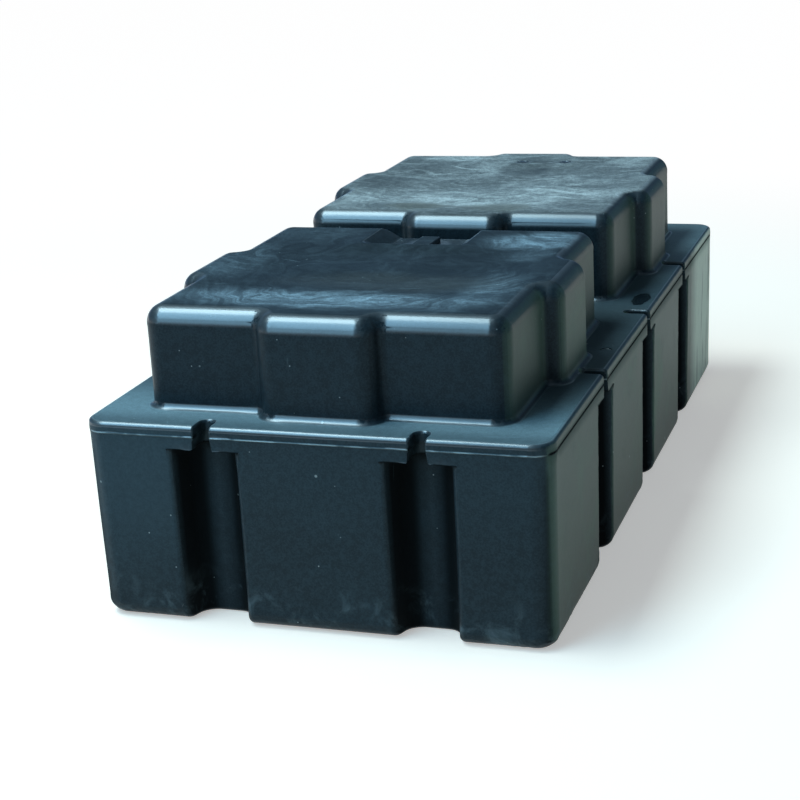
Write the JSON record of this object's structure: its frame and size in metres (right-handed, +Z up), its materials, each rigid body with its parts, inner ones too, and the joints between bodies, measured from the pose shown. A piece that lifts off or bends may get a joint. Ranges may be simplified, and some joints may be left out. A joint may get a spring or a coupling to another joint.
{
  "type": "dock float drum",
  "caption": "Foam filled dock float drum of black moulded plastic, with a slotted bolting ledge, bolt grooves and two raised blocks with a joist channel between them.",
  "frame": {"origin": "on the ground under the middle of the drum", "axes": "+Z up, Y along the length with the block with the dip at -Y, X across the width"},
  "size_m": [0.6096, 1.2192, 0.4004],
  "materials": {
    "shell_plastic": "satin black, scuffed",
    "plug_plastic": "satin black"
  },
  "bodies": {
    "root": {"float_shell": "shell_plastic", "filling_plug_left": "plug_plastic", "filling_plug_right": "plug_plastic"}
  },
  "joints": []
}
